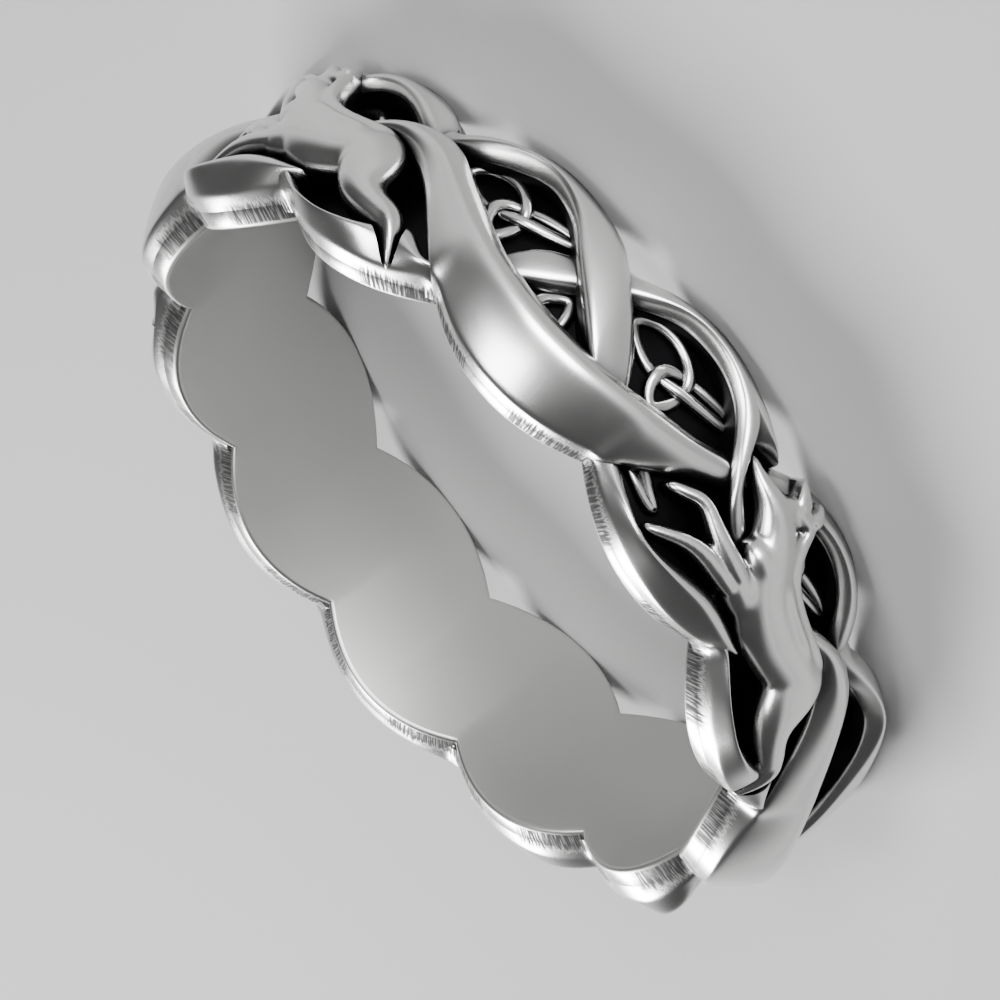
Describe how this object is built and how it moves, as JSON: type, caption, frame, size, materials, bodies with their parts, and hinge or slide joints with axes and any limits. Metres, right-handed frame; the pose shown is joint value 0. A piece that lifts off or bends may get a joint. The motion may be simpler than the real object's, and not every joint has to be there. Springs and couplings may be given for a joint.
{
  "type": "celtic wedding band",
  "caption": "Cast silver finger ring with scalloped edges, a braid of strands in relief, running horses and small wire knots.",
  "frame": {"origin": "centre of the finger hole, on the surface that the ring lies on", "axes": "+Z along the finger hole; the ring lies on its side, its scallops touching z = 0"},
  "size_m": [0.0226, 0.0226, 0.0052],
  "materials": {
    "silver": "polished cast silver, blackened in the recesses"
  },
  "bodies": {
    "root": {"band": "silver"}
  },
  "joints": []
}
